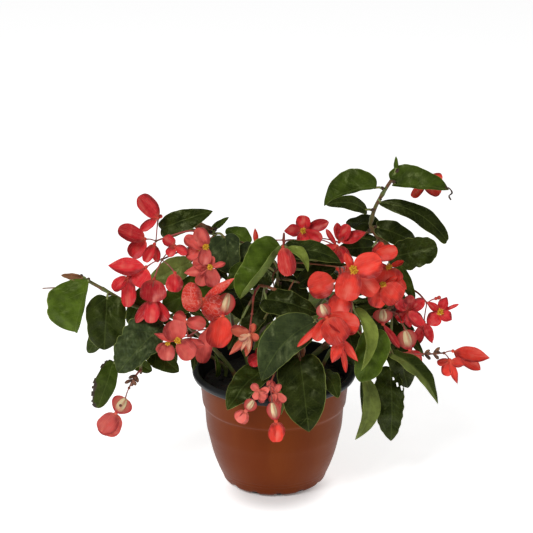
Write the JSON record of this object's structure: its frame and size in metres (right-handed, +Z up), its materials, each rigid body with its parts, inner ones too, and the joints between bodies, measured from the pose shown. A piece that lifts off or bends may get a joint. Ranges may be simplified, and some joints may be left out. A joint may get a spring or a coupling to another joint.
{
  "type": "potted begonia",
  "caption": "Flowering begonia in a round tapered nursery pot: leafy arching canes and hanging bloom clusters rise from the soil.",
  "frame": {"origin": "centre of the pot's underside, on the surface that the pot stands on", "axes": "+Z up along the pot's axis, +X to the right of the front view, -Y to the front"},
  "size_m": [0.4249, 0.2363, 0.3065],
  "materials": {
    "pot": "satin moulded plastic, terracotta brown",
    "soil": "moist crumbly peat",
    "foliage": "glossy leaf skin, green",
    "petal": "waxy petal, coral to crimson"
  },
  "bodies": {
    "root": {"pot": "pot", "soil": "soil", "cane_left": "foliage", "cane_low_left": "foliage", "cane_back_left": "foliage", "cane_tall": "foliage", "cane_centre": "foliage", "cane_front": "foliage", "cane_right": "foliage", "cane_upper_right": "foliage", "cane_rear_left": "foliage", "cane_rear_right": "foliage", "bloom_top_left": "petal", "bloom_left": "petal", "bloom_pink": "petal", "bloom_bright": "petal", "bloom_blush": "petal", "bloom_hanging": "petal", "bloom_faded": "petal", "bloom_shaded": "petal", "bloom_bud": "petal", "bloom_top": "petal", "bloom_main": "petal", "bloom_right": "petal", "bloom_right_low": "petal", "bloom_centre": "petal", "bloom_far_right": "petal", "bloom_tip_right": "petal", "bloom_behind_top": "petal", "bloom_pot_front": "petal", "bloom_rear_left": "petal", "bloom_rear_right": "petal"}
  },
  "joints": []
}
